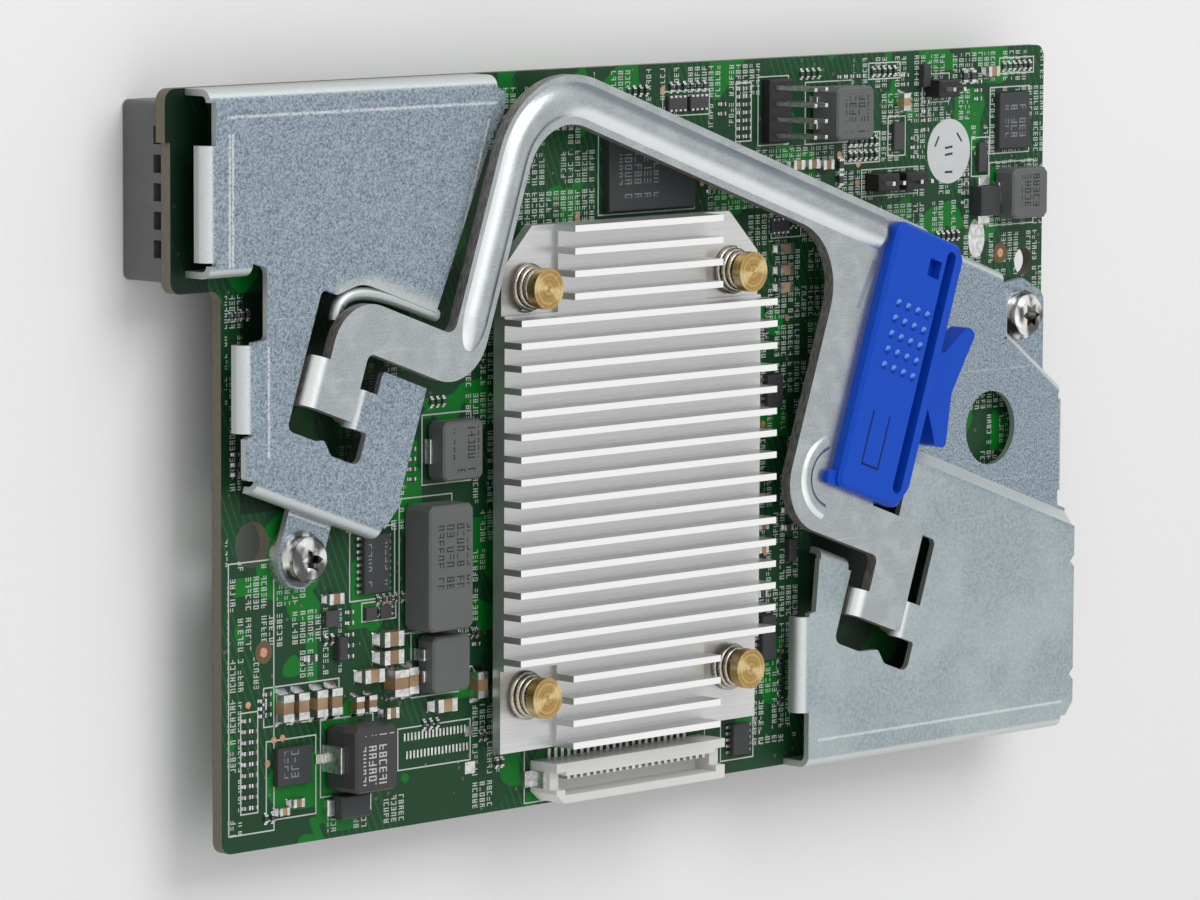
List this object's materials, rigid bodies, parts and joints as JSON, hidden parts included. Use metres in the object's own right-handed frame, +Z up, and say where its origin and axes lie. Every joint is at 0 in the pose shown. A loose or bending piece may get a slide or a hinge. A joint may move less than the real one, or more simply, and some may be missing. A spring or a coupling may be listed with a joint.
{
  "type": "host bus adapter",
  "caption": "Mezzanine host bus adapter card with folded zinc brackets, a hinged insertion lever with a blue latch, and a finned heat sink on spring screws.",
  "frame": {"origin": "bottom centre of the bounding box, on the surface that the card lies on component side up", "axes": "+X along the card's long edge, away from the host connector's tongue; +Y across the card, towards the edge that the tongue stands at; +Z up, out of the component face"},
  "size_m": [0.158, 0.0902, 0.0172],
  "materials": {
    "laminate": "satin",
    "zinc_sheet": "satin",
    "lever_steel": "satin",
    "rivet_steel": "satin",
    "blue_plastic": "satin",
    "sink_aluminium": "satin",
    "chip_black": "matte",
    "pad_grey": "matte",
    "turned_brass": "satin",
    "spring_steel": "polished",
    "screw_chrome": "polished",
    "nut_steel": "satin",
    "white_nylon": "satin",
    "tin": "satin",
    "choke_grey": "satin",
    "choke_black": "satin",
    "capacitor_brown": "satin",
    "black_nylon": "satin",
    "connector_black": "satin",
    "resistor_black": "satin"
  },
  "bodies": {
    "card": {"circuit_board": "laminate", "mezzanine_connector": "connector_black", "left_bracket": "zinc_sheet", "right_bracket": "zinc_sheet", "pivot_rivets": "rivet_steel", "controller_chip": "chip_black", "thermal_pad": "pad_grey", "heat_sink": "sink_aluminium", "spring_screws": "turned_brass", "screw_springs": "spring_steel", "bracket_screws": "screw_chrome", "foot_spacer": "nut_steel", "screw_nuts": "nut_steel", "cable_connector": "white_nylon", "cable_contacts": "tin", "connector_tabs": "tin", "memory_chip": "chip_black", "leadless_chips": "chip_black", "leaded_chips": "chip_black", "chip_leads": "tin", "power_chokes": "choke_grey", "clip_choke": "choke_black", "choke_terminals": "tin", "diodes": "chip_black", "diode_terminals": "tin", "transistors": "chip_black", "capacitor_bodies": "capacitor_brown", "capacitor_ends": "tin", "pin_headers": "black_nylon", "header_pins": "tin", "chip_resistors": "resistor_black"},
    "lever": {"lever_handle": "lever_steel", "latch_grip": "blue_plastic"}
  },
  "joints": [
    {"name": "lever_hinge", "type": "hinge", "parent": "card", "child": "lever", "pos_m": [-0.05853, 0.00875, 0.0113], "axis": [0.9432, -0.3322, 0], "range_deg": [0, 70]}
  ]
}
